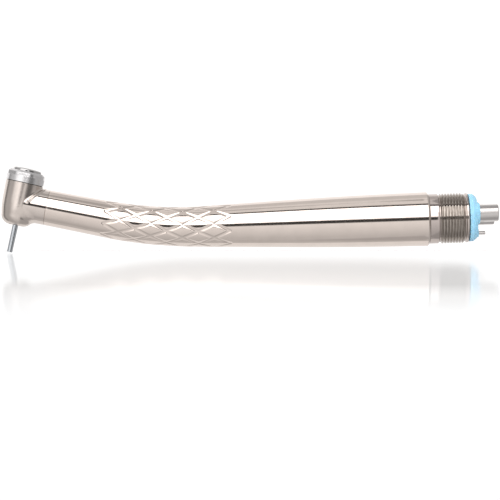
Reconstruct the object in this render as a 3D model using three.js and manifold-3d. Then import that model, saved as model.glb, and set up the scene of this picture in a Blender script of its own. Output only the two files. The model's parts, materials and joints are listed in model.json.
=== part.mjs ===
// High speed dental handpiece with a push-button chuck, an air turbine and a fixed four-hole coupling.
// Millimetres, +Z up. The origin is the centre of the gasket's sealing face, on the axis of the rear
// half of the handle. +X points out of the coupling towards the hose, and the head lies towards -X.

import * as THREE from "three";
import { mergeVertices } from "three/addons/utils/BufferGeometryUtils.js";
import Module from "manifold-3d";

const wasm = await Module();
wasm.setup();

const DEGREE = Math.PI / 180;

// Handle axis, measured forwards from the origin: straight, one bend upwards, then the straight neck.
const BEND_START = 74.2;
const BEND_RADIUS = 117;
const NECK_ANGLE = 12.8 * DEGREE;
const NECK_LENGTH = 23.3;
const BEND_END = BEND_START + BEND_RADIUS * NECK_ANGLE;
const HEAD_STATION = BEND_END + NECK_LENGTH;

// Coupling stations along the same axis.
const GASKET_THICKNESS = 2.2;
const CONNECTOR_REAR = GASKET_THICKNESS;
const THREAD_START = 3.3;
const THREAD_END = 9.9;
const COLLAR_START = 10.4;
const HANDLE_REAR = 12.87;
const BLOCK_FRONT = 15;
const O_RING_STATION = 18.5;
const SLEEVE_FRONT = 23;

// Coupling radii.
const LAND_RADIUS = 6.65;
const THREAD_ROOT_RADIUS = 6.34;
const THREAD_CREST_RADIUS = 6.79;
const THREAD_PITCH = 0.78;
const THREAD_STEPS_PER_TURN = 20;
const COLLAR_RADIUS = 6.7;
const SLEEVE_RADIUS = 5.95;
const SLEEVE_BORE_RADIUS = 5.2;
const O_RING_RADIUS = 5.81;
const O_RING_THICKNESS = 0.34;
const O_RING_GROOVE_RADIUS = 5.62;
const O_RING_GROOVE_WIDTH = 1;
const GASKET_RADIUS = 6.4;
const GASKET_PLATEAU_RADIUS = 5.9;

// Handle shell.
const HANDLE_WALL = 0.8;
const HANDLE_STEPS = 16;
const HANDLE_STATIONS = [
  [HANDLE_REAR, 7.3],
  [28, 7.07],
  [41, 6.75],
  [54, 6.29],
  [67, 5.77],
  [80, 5.32],
  [93, 5.09],
  [106, 4.88],
  [116.3, 4.77],
];
const NECK_SEAM = HEAD_STATION - 7.4;
const SPIGOT_LENGTH = 4;
const SPIGOT_RADIUS = 4.15;
const NECK_BORE_RADIUS = 3.6;

// Head, measured upwards from the nose along the head's own axis.
const HEAD_TILT = 14.3 * DEGREE;
const HEAD_AXIS_HEIGHT = 6.45;
const NOSE_HEIGHT = 0.2;
const NOSE_RADIUS = 2.2;
const NOSE_FLANK_RADIUS = 4.3;
const NOSE_OPENING_RADIUS = 1.75;
const HEAD_SEAM = 11.9;
// Head radius at each height above the round nose.
const HEAD_STATIONS = [
  [2.9, 4.42],
  [4.2, 4.68],
  [5.6, 4.84],
  [7.5, 4.94],
  [HEAD_SEAM, 5.06],
];
const CHAMBER_RADIUS = 4.15;
const CAP_BORE_RADIUS = 4.34;
const BEARING_SEAT_RADIUS = 3.87;
const SEAT_FLOOR = 1.5;
const SEAT_FLOOR_RADIUS = 3.2;
const SEAT_FLANK_BOTTOM = 2.6;
const SEAT_TOP = 4.5;
const SPRAY_PORTS = 3;
const SPRAY_PORT_RADIUS = 0.25;
const SPRAY_PORT_CIRCLE = 2.3;
const EXHAUST_WINDOW = { y: -1.7, z: 0.3, radius: 1.3 };
const JET_OFFSET = 2.4;

// Head cap and push button.
const CAP_RADIUS = 5.12;
const CAP_FLATS_RADIUS = 4.89;
const CAP_FLATS = 8;
const CAP_FLATS_START = 13.6;
const CAP_TOP = 15;
const CAP_EDGE = 0.55;
const CAP_SKIRT_RADIUS = 4.27;
const CAP_SKIRT_BOTTOM = 8.4;
const CAP_WEB_BOTTOM = 13;
const CAP_WEB_TOP = 13.5;
const CAP_MOUTH_RADIUS = 4;
const CAP_CHAMBER_RADIUS = 3.6;
const CAP_SHOULDER_RADIUS = 2.8;
const BUTTON_RADIUS = 3.89;
const BUTTON_UNDERSIDE = 14.85;
const BUTTON_TOP = 16;
const BUTTON_STEM_RADIUS = 2.1;
const BUTTON_STEM_BOTTOM = 12.45;
const BUTTON_NECK_RADIUS = 1.5;
const BUTTON_NECK_TOP = BUTTON_STEM_BOTTOM + 0.45;
const RETAINER_RADIUS = 2.6;
const BUTTON_SPRING = { radius: 3.7, bore: 2.9, waves: 3 };

// Turbine cartridge.
const SPINDLE_RADIUS = 1.58;
const SPINDLE_BORE_RADIUS = 1.17;
const SPINDLE_SHOULDER_RADIUS = 2;
const SPINDLE_LIP_RADIUS = 0.85;
const SPINDLE_BOTTOM = 0.45;
const SPINDLE_TOP = 11.2;
const BEARING_WIDTH = 2.4;
const LOWER_BEARING = 3.1;
const UPPER_BEARING = 9.8;
const RACE_OUTER_RADIUS = 3.1;
const RACE_BORE_RADIUS = 1.63;
const BALL_RADIUS = 0.5;
const BALL_PITCH_RADIUS = 2.38;
const BALLS = 7;
const BALL_GROOVE_DEGREES = 48;
const CAGE = { radius: 2.6, bore: 2.2, width: 1.44 };
const BEARING_O_RING_RADIUS = 3.49;
const BEARING_O_RING_THICKNESS = 0.66;
const PRELOAD_WASHER = { radius: 3.1, bore: 2.6, waves: 3 };
const WASHER_GAP = 0.03;
const IMPELLER_BOTTOM = 5;
const IMPELLER_TOP = 7.9;
const IMPELLER_RADIUS = 3.95;
const IMPELLER_BUCKETS = 9;
const HUB_RADIUS = 2.1;
const SHANK_RADIUS = 0.8;
const BUR_TIP_RADIUS = 0.75;
const BUR_TIP = -7.2;
const SHANK_BOTTOM = -0.6;
const SHANK_TOP = 9.4;
const COLLET_BOTTOM = 0.6;
const COLLET_TOP = 9.9;
const COLLET_JAWS = 3;
const PUSHER_TIP_RADIUS = 0.5;
const PUSHER_STEM_RADIUS = 0.72;
const PUSHER_HEAD_RADIUS = 1.3;
const PUSHER_HEAD_BOTTOM = 11.75;
const PUSHER_TOP = 12.15;

// Coupling tubes and the lines behind them: place across the axis, outer and bore radius.
const EXHAUST = { y: -2.88, z: 1.05, radius: 2.32, bore: 1.95, tip: 5.6 };
const DRIVE_AIR = { y: 2.84, z: -0.75, radius: 1.3, bore: 0.95, tip: 5.1 };
const WATER = { y: 0.87, z: -4.2, radius: 0.5, bore: 0.3, tip: 2.4 };
const CHIP_AIR = { y: 2.92, z: 3.02, radius: 0.5, bore: 0.3, tip: 2.4 };
const DRIVE_LINE = { y: 2, z: 0, radius: 1.1, bore: 0.8 };
const WATER_LINE = { y: 0, z: -2.85, radius: 0.5, bore: 0.3 };
const CHIP_LINE = { y: -1.3, z: -2.5, radius: 0.5, bore: 0.3 };
const LINE_SOCKET_DEPTH = 2;
const STUB_DEPTH = 8;

// Clearances: between fixed pieces, and round a moving one.
const FIT = 0.05;
const RUNNING = 0.1;

// Facets round a large turned piece, a small one and a thin tube.
const FINE = 32;
const MEDIUM = 24;
const COARSE = 10;

const STEEL = { color: 0xcfc7c2, roughness: 0.32, metalness: 1 };
const CAP_STEEL = { color: 0xb9b9b8, roughness: 0.3, metalness: 1 };
const THREAD_STEEL = { color: 0x9c938a, roughness: 0.3, metalness: 1 };
const BRIGHT_STEEL = { color: 0xd8dadc, roughness: 0.15, metalness: 1 };
const BEARING_STEEL = { color: 0xc3c8cc, roughness: 0.12, metalness: 1 };
const SPRING_STEEL = { color: 0x9fa3a6, roughness: 0.3, metalness: 1 };
const IMPELLER_ALLOY = { color: 0xc9c5bd, roughness: 0.4, metalness: 1 };
const CAGE_POLYMER = { color: 0x7a5a30, roughness: 0.6, metalness: 0 };
const BLACK_RUBBER = { color: 0x1b1b1c, roughness: 0.7, metalness: 0 };
const BLUE_SILICONE = { color: 0xa8d4f0, roughness: 0.45, metalness: 0 };

// A closed geometry as a solid that can be cut and joined.
function solidOf(geometry) {
  const bare = geometry.clone();
  bare.deleteAttribute("normal");
  bare.deleteAttribute("uv");
  const merged = mergeVertices(bare, 1e-4);
  return new wasm.Manifold(
    new wasm.Mesh({
      numProp: 3,
      vertProperties: merged.attributes.position.array,
      triVerts: new Uint32Array(merged.index.array),
    }),
  );
}

// A solid as a geometry again.
function geometryOf(solid) {
  const mesh = solid.getMesh();
  const geometry = new THREE.BufferGeometry();
  geometry.setAttribute("position", new THREE.BufferAttribute(mesh.vertProperties, 3));
  geometry.setIndex(new THREE.BufferAttribute(mesh.triVerts, 1));
  geometry.computeVertexNormals();
  return geometry;
}

function join(...geometries) {
  return geometryOf(geometries.map(solidOf).reduce((whole, piece) => whole.add(piece)));
}

function cut(geometry, ...tools) {
  return geometryOf(tools.map(solidOf).reduce((rest, tool) => rest.subtract(tool), solidOf(geometry)));
}

// A turned piece about Z. The profile lists radius and height, counter-clockwise.
function turned(profile, facets) {
  const points = profile.map(([radius, height]) => new THREE.Vector2(radius, height));
  return new THREE.LatheGeometry(points, facets).rotateX(Math.PI / 2);
}

// A turned ring about Z: the profile closes on itself.
function ring(profile, facets) {
  return turned([...profile, profile[0]], facets);
}

// A plain tube about Z, from one height to another.
function tube(radius, bore, bottom, top, facets) {
  return ring([[bore, bottom], [radius, bottom], [radius, top], [bore, top]], facets);
}

// A plain rod about Z, from one height to another.
function rod(radius, bottom, top, facets) {
  return new THREE.CylinderGeometry(radius, radius, top - bottom, facets)
    .rotateX(Math.PI / 2)
    .translate(0, 0, (bottom + top) / 2);
}

// Turns a piece made about Z so that its height runs forwards along the handle, towards -X.
function alongHandle(geometry) {
  return geometry.rotateY(-Math.PI / 2);
}

// Points on a round stretch of a profile, as radius and height.
function arc(centreRadius, centreHeight, radius, fromDegrees, toDegrees, steps) {
  return Array.from({ length: steps + 1 }, (_, i) => {
    const angle = (fromDegrees + ((toDegrees - fromDegrees) * i) / steps) * DEGREE;
    return [centreRadius + radius * Math.cos(angle), centreHeight + radius * Math.sin(angle)];
  });
}

// The handle's axis at a station: its place and its slope.
function axisAt(station) {
  const angle = THREE.MathUtils.clamp((station - BEND_START) / BEND_RADIUS, 0, NECK_ANGLE);
  const straight = Math.min(station, BEND_START);
  const neck = Math.max(station - BEND_END, 0);
  return {
    x: -straight - BEND_RADIUS * Math.sin(angle) - neck * Math.cos(angle),
    z: BEND_RADIUS * (1 - Math.cos(angle)) + neck * Math.sin(angle),
    angle,
  };
}

// Bends a geometry made straight along -X so that it follows the handle's axis.
function bent(geometry) {
  const position = geometry.attributes.position;
  for (let i = 0; i < position.count; i++) {
    const axis = axisAt(-position.getX(i));
    const height = position.getZ(i);
    const x = axis.x + height * Math.sin(axis.angle);
    const z = axis.z + height * Math.cos(axis.angle);
    position.setXYZ(i, x, position.getY(i), z);
  }
  geometry.computeVertexNormals();
  return geometry;
}

// Evenly spaced numbers, both ends included.
function spaced(from, to, steps) {
  return Array.from({ length: steps + 1 }, (_, i) => from + ((to - from) * i) / steps);
}

// Stations where a bent piece needs a ring of vertices, between two ends.
function bendStations(from, to) {
  const inside = spaced(BEND_START, BEND_END, 5).filter((station) => station > from + 1 && station < to - 1);
  return [from, ...inside, to];
}

function part(name, geometry, finish) {
  const mesh = new THREE.Mesh(geometry, new THREE.MeshStandardMaterial(finish));
  mesh.name = name;
  return mesh;
}

// ---- Handle ----

const handleOutline = new THREE.SplineCurve(HANDLE_STATIONS.map(([u, r]) => new THREE.Vector2(u, r)));

function handleShell() {
  const chamfer = 0.45;
  const outside = handleOutline.getPoints(HANDLE_STEPS).filter((p) => p.x < NECK_SEAM - 1);
  const seamRadius = HANDLE_STATIONS.at(-1)[1];
  const sleeveBore = SLEEVE_RADIUS + FIT;
  const spigotBore = SPIGOT_RADIUS + FIT;
  const spigotStart = NECK_SEAM - SPIGOT_LENGTH - 0.5;
  const sleeveEnd = SLEEVE_FRONT + 1;
  const inside = outside
    .filter((p) => p.x > sleeveEnd + 2 && p.x < spigotStart - 2)
    .map((p) => [Math.min(p.y - HANDLE_WALL, sleeveBore - 0.2), p.x])
    .reverse();
  const profile = [
    [sleeveBore, HANDLE_REAR],
    [outside[0].y - chamfer, HANDLE_REAR],
    [outside[0].y, HANDLE_REAR + chamfer],
    ...outside.slice(1).map((p) => [p.y, p.x]),
    [seamRadius, NECK_SEAM],
    [spigotBore, NECK_SEAM],
    [spigotBore, spigotStart],
    ...inside,
    [sleeveBore, sleeveEnd],
  ];
  return bent(alongHandle(ring(profile, FINE)));
}

// A line inside the handle, from the coupling block to the head, swinging from one place to another.
function insideLine(rear, front, from, to) {
  const swingStart = from + 4;
  const swingEnd = from + 20;
  const swing = spaced(swingStart, swingEnd, 3);
  const stations = [from, ...swing, ...bendStations(swingEnd + 4, to).slice(1)];
  const profile = [
    ...stations.map((station) => [front.radius, station]),
    ...stations.toReversed().map((station) => [front.bore, station]),
  ];
  const geometry = alongHandle(ring(profile, COARSE));
  const position = geometry.attributes.position;
  for (let i = 0; i < position.count; i++) {
    const share = THREE.MathUtils.smoothstep(-position.getX(i), swingStart, swingEnd);
    position.setY(i, position.getY(i) + THREE.MathUtils.lerp(rear.y, front.y, share));
    position.setZ(i, position.getZ(i) + THREE.MathUtils.lerp(rear.z, front.z, share));
  }
  return bent(geometry);
}

// ---- Coupling ----

// A helix about Z whose section stays square to the axis.
class Helix extends THREE.Curve {
  constructor(radius, pitch, turns) {
    super();
    Object.assign(this, { radius, pitch, turns });
  }

  getPoint(t, target = new THREE.Vector3()) {
    const angle = t * this.turns * 2 * Math.PI;
    const height = t * this.turns * this.pitch;
    return target.set(this.radius * Math.cos(angle), this.radius * Math.sin(angle), height);
  }

  computeFrenetFrames(segments) {
    const frames = { tangents: [], normals: [], binormals: [] };
    for (let i = 0; i <= segments; i++) {
      const angle = (i / segments) * this.turns * 2 * Math.PI;
      const outwards = new THREE.Vector3(Math.cos(angle), Math.sin(angle), 0);
      const tangent = new THREE.Vector3(-Math.sin(angle), Math.cos(angle), 0);
      frames.tangents.push(tangent);
      frames.normals.push(outwards);
      frames.binormals.push(new THREE.Vector3().crossVectors(tangent, outwards));
    }
    return frames;
  }
}

function threadRidge() {
  const embedded = 0.06;
  const height = THREAD_CREST_RADIUS - THREAD_ROOT_RADIUS;
  const halfFoot = THREAD_PITCH * 0.46;
  const section = new THREE.Shape([
    new THREE.Vector2(-embedded, -halfFoot),
    new THREE.Vector2(height, 0),
    new THREE.Vector2(-embedded, halfFoot),
  ]);
  const turns = (THREAD_END - THREAD_START - THREAD_PITCH) / THREAD_PITCH;
  const path = new Helix(THREAD_ROOT_RADIUS, THREAD_PITCH, turns);
  const steps = Math.round(turns * THREAD_STEPS_PER_TURN);
  return new THREE.ExtrudeGeometry(section, { steps, extrudePath: path, bevelEnabled: false })
    .translate(0, 0, THREAD_START + THREAD_PITCH / 2);
}

// A straight round hole through the coupling, about its own place.
function couplingHole(place, radius, from, to) {
  const facets = radius > 1 ? MEDIUM : COARSE;
  return alongHandle(rod(radius, from, to, facets)).translate(0, place.y, place.z);
}

function connectorBody() {
  const chamfer = 0.25;
  const landWidth = 0.73;
  const threadRelief = 0.2;
  const grooveRear = O_RING_STATION - O_RING_GROOVE_WIDTH / 2;
  const grooveFront = O_RING_STATION + O_RING_GROOVE_WIDTH / 2;
  const profile = [
    [0, CONNECTOR_REAR],
    [LAND_RADIUS - chamfer, CONNECTOR_REAR],
    [LAND_RADIUS, CONNECTOR_REAR + chamfer],
    [LAND_RADIUS, CONNECTOR_REAR + landWidth],
    [THREAD_ROOT_RADIUS, THREAD_START - threadRelief],
    [THREAD_ROOT_RADIUS, THREAD_END],
    [COLLAR_RADIUS, COLLAR_START],
    [COLLAR_RADIUS, HANDLE_REAR - FIT],
    [SLEEVE_RADIUS, HANDLE_REAR - FIT],
    [SLEEVE_RADIUS, grooveRear],
    [O_RING_GROOVE_RADIUS, grooveRear],
    [O_RING_GROOVE_RADIUS, grooveFront],
    [SLEEVE_RADIUS, grooveFront],
    [SLEEVE_RADIUS, SLEEVE_FRONT],
    [SLEEVE_BORE_RADIUS, SLEEVE_FRONT],
    [SLEEVE_BORE_RADIUS, BLOCK_FRONT],
    [0, BLOCK_FRONT],
  ];
  const threaded = join(turned(profile, MEDIUM), threadRidge());
  const stubEnd = CONNECTOR_REAR + STUB_DEPTH;
  const holes = [EXHAUST, DRIVE_AIR, WATER, CHIP_AIR].flatMap((stub) => [
    couplingHole(stub, stub.radius + FIT, 0, stubEnd),
    couplingHole(stub, stub.bore, 0, BLOCK_FRONT + 1),
  ]);
  const sockets = [
    [DRIVE_AIR, DRIVE_LINE],
    [WATER, WATER_LINE],
    [CHIP_AIR, CHIP_LINE],
  ].map(([place, line]) =>
    couplingHole(place, line.radius + FIT, BLOCK_FRONT - LINE_SOCKET_DEPTH, BLOCK_FRONT + 1),
  );
  return cut(alongHandle(threaded), ...holes, ...sockets);
}

// An O-ring about Z: a six-sided section turned round, by the radius and height of its middle.
function oRing(radius, height, thickness) {
  return ring(arc(radius, height, thickness / 2, 0, 300, 5), MEDIUM);
}

function connectorORing() {
  return alongHandle(oRing(O_RING_RADIUS, O_RING_STATION, O_RING_THICKNESS));
}

function couplingGasket() {
  const bevel = { width: 0.7, depth: 0.55 };
  const rim = { start: 1.1, chamfer: 0.15 };
  const profile = [
    [0, 0],
    [GASKET_PLATEAU_RADIUS - bevel.width, 0],
    [GASKET_PLATEAU_RADIUS, bevel.depth],
    [GASKET_RADIUS - rim.chamfer, rim.start],
    [GASKET_RADIUS, rim.start + rim.chamfer],
    [GASKET_RADIUS, GASKET_THICKNESS - FIT],
    [0, GASKET_THICKNESS - FIT],
  ];
  const holes = [EXHAUST, DRIVE_AIR, WATER, CHIP_AIR].map((stub) =>
    couplingHole(stub, stub.radius + FIT, -1, GASKET_THICKNESS + 1),
  );
  return cut(alongHandle(turned(profile, FINE)), ...holes);
}

// A coupling tube from its seat in the block to its free end, whose rim is chamfered.
function couplingTube(stub) {
  const chamfer = (stub.radius - stub.bore) * 0.4;
  const seat = CONNECTOR_REAR + STUB_DEPTH - FIT;
  const profile = [
    [stub.bore + chamfer * 0.5, -stub.tip],
    [stub.radius - chamfer, -stub.tip],
    [stub.radius, -stub.tip + chamfer],
    [stub.radius, seat],
    [stub.bore, seat],
    [stub.bore, -stub.tip + chamfer],
  ];
  const facets = stub.radius > 1 ? MEDIUM : COARSE;
  return alongHandle(ring(profile, facets)).translate(0, stub.y, stub.z);
}

// ---- Head ----

// A round bar or hole along the neck, in the head's frame: distances run backwards from the head's axis.
function alongNeck(radius, from, to, facets, y = 0, z = 0) {
  return rod(radius, from, to, facets)
    .rotateY(Math.PI / 2)
    .translate(0, y, z)
    .rotateY(NECK_ANGLE - HEAD_TILT)
    .translate(0, 0, HEAD_AXIS_HEIGHT);
}

function headHousing() {
  const seamStation = HEAD_STATION - NECK_SEAM;
  const neckRadius = HANDLE_STATIONS.at(-1)[1];
  const webFront = 5.4;
  const flankBottom = NOSE_HEIGHT + NOSE_RADIUS;
  const outside = turned(
    [
      [0, NOSE_HEIGHT],
      ...arc(NOSE_FLANK_RADIUS - NOSE_RADIUS, flankBottom, NOSE_RADIUS, -90, 0, 6),
      ...HEAD_STATIONS.map(([height, radius]) => [radius, height]),
      [0, HEAD_SEAM],
    ],
    FINE,
  );
  const neck = alongNeck(neckRadius, 0, seamStation, FINE);
  const spigot = alongNeck(SPIGOT_RADIUS, seamStation - 0.5, seamStation + SPIGOT_LENGTH, FINE);
  const cavity = turned(
    [
      [0, -1],
      [NOSE_OPENING_RADIUS, -1],
      [NOSE_OPENING_RADIUS, SEAT_FLOOR],
      [SEAT_FLOOR_RADIUS, SEAT_FLOOR],
      [BEARING_SEAT_RADIUS, SEAT_FLANK_BOTTOM],
      [BEARING_SEAT_RADIUS, SEAT_TOP],
      [CHAMBER_RADIUS, SEAT_TOP],
      [CHAMBER_RADIUS, CAP_SKIRT_BOTTOM - 0.2],
      [CAP_BORE_RADIUS, CAP_SKIRT_BOTTOM - 0.2],
      [CAP_BORE_RADIUS, HEAD_SEAM + 1],
      [0, HEAD_SEAM + 1],
    ],
    FINE,
  );
  const bore = alongNeck(NECK_BORE_RADIUS, webFront, seamStation + SPIGOT_LENGTH + 1, MEDIUM);
  const windowStart = 2.5;
  const windowEnd = webFront + 0.5;
  const driveJet = alongNeck(DRIVE_LINE.bore, windowStart, windowEnd, COARSE, JET_OFFSET, DRIVE_LINE.z);
  const { radius, y, z } = EXHAUST_WINDOW;
  const exhaustWindow = alongNeck(radius, windowStart, windowEnd, COARSE, y, z);
  const sprayPorts = Array.from({ length: SPRAY_PORTS }, (_, i) =>
    rod(SPRAY_PORT_RADIUS, -1, 1, 8)
      .translate(SPRAY_PORT_CIRCLE, 0, 0)
      .rotateZ((i / SPRAY_PORTS) * 2 * Math.PI),
  );
  return cut(join(outside, neck, spigot), cavity, bore, driveJet, exhaustWindow, ...sprayPorts);
}

function headCap() {
  const shoulderBottom = UPPER_BEARING + BEARING_WIDTH / 2 + FIT;
  const shoulderTop = shoulderBottom + 0.5;
  const body = ring(
    [
      [BEARING_SEAT_RADIUS, CAP_SKIRT_BOTTOM],
      [CAP_SKIRT_RADIUS, CAP_SKIRT_BOTTOM],
      [CAP_SKIRT_RADIUS, HEAD_SEAM + FIT],
      [CAP_RADIUS, HEAD_SEAM + FIT],
      [CAP_RADIUS, CAP_TOP - CAP_EDGE],
      [CAP_RADIUS - CAP_EDGE, CAP_TOP],
      [CAP_MOUTH_RADIUS, CAP_TOP],
      [CAP_MOUTH_RADIUS, CAP_WEB_TOP],
      [BUTTON_STEM_RADIUS + RUNNING, CAP_WEB_TOP],
      [BUTTON_STEM_RADIUS + RUNNING, CAP_WEB_BOTTOM],
      [CAP_CHAMBER_RADIUS, CAP_WEB_BOTTOM],
      [CAP_CHAMBER_RADIUS, shoulderTop],
      [CAP_SHOULDER_RADIUS, shoulderTop],
      [CAP_SHOULDER_RADIUS, shoulderBottom],
      [BEARING_SEAT_RADIUS, shoulderBottom],
    ],
    FINE,
  );
  const flats = Array.from({ length: CAP_FLATS }, (_, i) =>
    new THREE.BoxGeometry(2, 6, 2)
      .translate(CAP_FLATS_RADIUS + 1, 0, CAP_FLATS_START + 1)
      .rotateZ((i / CAP_FLATS) * 2 * Math.PI),
  );
  return cut(body, ...flats);
}

function pushButton() {
  const edge = 0.25;
  const crown = { reach: BUTTON_RADIUS * 0.6, drop: 0.06 };
  return turned(
    [
      [0, BUTTON_STEM_BOTTOM],
      [BUTTON_NECK_RADIUS, BUTTON_STEM_BOTTOM],
      [BUTTON_NECK_RADIUS, BUTTON_NECK_TOP],
      [BUTTON_STEM_RADIUS, BUTTON_NECK_TOP],
      [BUTTON_STEM_RADIUS, BUTTON_UNDERSIDE],
      [BUTTON_RADIUS, BUTTON_UNDERSIDE],
      [BUTTON_RADIUS, BUTTON_TOP - 2 * edge],
      [BUTTON_RADIUS - edge, BUTTON_TOP - edge],
      [crown.reach, BUTTON_TOP - crown.drop],
      [0, BUTTON_TOP],
    ],
    FINE,
  );
}

function buttonRetainer() {
  const bore = BUTTON_NECK_RADIUS + FIT;
  const bottom = BUTTON_STEM_BOTTOM + 0.02;
  return tube(RETAINER_RADIUS, bore, bottom, BUTTON_NECK_TOP - FIT, MEDIUM);
}

// A flat ring of spring steel pressed into waves, standing between two heights.
function waveRing({ radius, bore, waves }, bottom, top) {
  const thickness = 0.2;
  const swing = (top - bottom - thickness) / 2;
  const outline = new THREE.Shape().absarc(0, 0, radius, 0, 2 * Math.PI);
  outline.holes.push(new THREE.Path().absarc(0, 0, bore, 0, 2 * Math.PI));
  const geometry = new THREE.ExtrudeGeometry(outline, {
    depth: thickness,
    curveSegments: COARSE,
    bevelEnabled: false,
  });
  const position = geometry.attributes.position;
  for (let i = 0; i < position.count; i++) {
    const around = Math.atan2(position.getY(i), position.getX(i));
    position.setZ(i, position.getZ(i) + bottom + swing * (1 + Math.sin(waves * around)));
  }
  return geometry;
}

// ---- Turbine cartridge ----

function outerRace(middle) {
  const chamfer = 0.1;
  const half = BALL_GROOVE_DEGREES;
  const groove = arc(BALL_PITCH_RADIUS, middle, BALL_RADIUS + FIT, half, -half, 4);
  const bottom = middle - BEARING_WIDTH / 2;
  const top = middle + BEARING_WIDTH / 2;
  return ring(
    [
      [groove[0][0], bottom],
      [RACE_OUTER_RADIUS - chamfer, bottom],
      [RACE_OUTER_RADIUS, bottom + chamfer],
      [RACE_OUTER_RADIUS, top - chamfer],
      [RACE_OUTER_RADIUS - chamfer, top],
      [groove[0][0], top],
      ...groove,
    ],
    MEDIUM,
  );
}

function innerRace(middle) {
  const half = BALL_GROOVE_DEGREES;
  const groove = arc(BALL_PITCH_RADIUS, middle, BALL_RADIUS + FIT, 180 + half, 180 - half, 4);
  const bottom = middle - BEARING_WIDTH / 2;
  const top = middle + BEARING_WIDTH / 2;
  return ring(
    [
      [RACE_BORE_RADIUS, bottom],
      [groove[0][0], bottom],
      ...groove,
      [groove[0][0], top],
      [RACE_BORE_RADIUS, top],
    ],
    MEDIUM,
  );
}

// The balls with the cage that spaces them.
function ballCage(middle) {
  const cage = tube(CAGE.radius, CAGE.bore, middle - CAGE.width / 2, middle + CAGE.width / 2, 2 * BALLS);
  const balls = Array.from({ length: BALLS }, (_, i) =>
    new THREE.SphereGeometry(BALL_RADIUS, 8, 6)
      .translate(BALL_PITCH_RADIUS, 0, middle)
      .rotateZ((i / BALLS) * 2 * Math.PI),
  );
  return join(cage, ...balls);
}

function bearingORing(height) {
  return oRing(BEARING_O_RING_RADIUS, height, BEARING_O_RING_THICKNESS);
}

function spindle() {
  const chamfer = 0.1;
  const shoulderBottom = LOWER_BEARING + BEARING_WIDTH / 2 + FIT;
  const shoulderTop = IMPELLER_BOTTOM - FIT;
  const lipBottom = SPINDLE_TOP - 0.6;
  return ring(
    [
      [SPINDLE_BORE_RADIUS, SPINDLE_BOTTOM],
      [SPINDLE_RADIUS - chamfer, SPINDLE_BOTTOM],
      [SPINDLE_RADIUS, SPINDLE_BOTTOM + chamfer],
      [SPINDLE_RADIUS, shoulderBottom],
      [SPINDLE_SHOULDER_RADIUS, shoulderBottom],
      [SPINDLE_SHOULDER_RADIUS, shoulderTop],
      [SPINDLE_RADIUS, shoulderTop],
      [SPINDLE_RADIUS, SPINDLE_TOP],
      [SPINDLE_LIP_RADIUS, SPINDLE_TOP],
      [SPINDLE_LIP_RADIUS, lipBottom],
      [SPINDLE_BORE_RADIUS, lipBottom],
    ],
    MEDIUM,
  );
}

// The collet that grips the bur: a sleeve slit from below into three jaws.
function chuckCollet() {
  const slit = { width: 0.2, top: 6, reach: 1.5 };
  const bore = SHANK_RADIUS + 0.03;
  const sleeve = tube(SPINDLE_BORE_RADIUS - FIT, bore, COLLET_BOTTOM, COLLET_TOP, MEDIUM);
  const slits = Array.from({ length: COLLET_JAWS }, (_, i) =>
    new THREE.BoxGeometry(slit.reach, slit.width, slit.top)
      .translate(slit.reach / 2, 0, slit.top / 2)
      .rotateZ(((i + 0.25) / COLLET_JAWS) * 2 * Math.PI),
  );
  return cut(sleeve, ...slits);
}

// The turbine wheel: a hub ringed by scooped buckets that the drive air strikes.
function impeller() {
  const pitch = (2 * Math.PI) / IMPELLER_BUCKETS;
  // One bucket as radius and share of its pitch: the vane's tip, its back, then the scoop.
  const bucket = [
    [IMPELLER_RADIUS, 0],
    [IMPELLER_RADIUS, 0.22],
    [HUB_RADIUS + 0.4, 0.3],
    [HUB_RADIUS + 0.35, 0.5],
    [HUB_RADIUS + 0.75, 0.72],
    [IMPELLER_RADIUS - 0.5, 0.92],
  ];
  const corners = Array.from({ length: IMPELLER_BUCKETS }, (_, i) =>
    bucket.map(([radius, share]) => {
      const angle = (i + share) * pitch;
      return new THREE.Vector2(radius * Math.cos(angle), radius * Math.sin(angle));
    }),
  ).flat();
  const outline = new THREE.Shape(corners);
  outline.holes.push(new THREE.Path().absarc(0, 0, SPINDLE_RADIUS + FIT, 0, 2 * Math.PI));
  const depth = IMPELLER_TOP - IMPELLER_BOTTOM;
  const wheel = new THREE.ExtrudeGeometry(outline, { depth, curveSegments: COARSE, bevelEnabled: false })
    .translate(0, 0, IMPELLER_BOTTOM);
  const spacerTop = UPPER_BEARING - BEARING_WIDTH / 2 - FIT;
  const spacer = tube(HUB_RADIUS - 0.1, SPINDLE_RADIUS + FIT, IMPELLER_TOP - 0.5, spacerTop, MEDIUM);
  return join(wheel, spacer);
}

// The plunger that the button drives into the collet to open its jaws.
function chuckPusher() {
  const tip = COLLET_TOP + RUNNING;
  const taper = 0.3;
  const chamfer = 0.1;
  return turned(
    [
      [0, tip],
      [PUSHER_TIP_RADIUS, tip],
      [PUSHER_STEM_RADIUS, tip + taper],
      [PUSHER_STEM_RADIUS, PUSHER_HEAD_BOTTOM],
      [PUSHER_HEAD_RADIUS, PUSHER_HEAD_BOTTOM],
      [PUSHER_HEAD_RADIUS, PUSHER_TOP - chamfer],
      [PUSHER_HEAD_RADIUS - chamfer, PUSHER_TOP],
      [0, PUSHER_TOP],
    ],
    MEDIUM,
  );
}

function bur() {
  const tipEdge = 0.1;
  const topChamfer = 0.2;
  return turned(
    [
      [0, BUR_TIP],
      [BUR_TIP_RADIUS - tipEdge, BUR_TIP],
      [BUR_TIP_RADIUS, BUR_TIP + tipEdge],
      [SHANK_RADIUS, SHANK_BOTTOM],
      [SHANK_RADIUS, SHANK_TOP - topChamfer],
      [SHANK_RADIUS - topChamfer, SHANK_TOP],
      [0, SHANK_TOP],
    ],
    MEDIUM,
  );
}

// ---- Assembly ----

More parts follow.
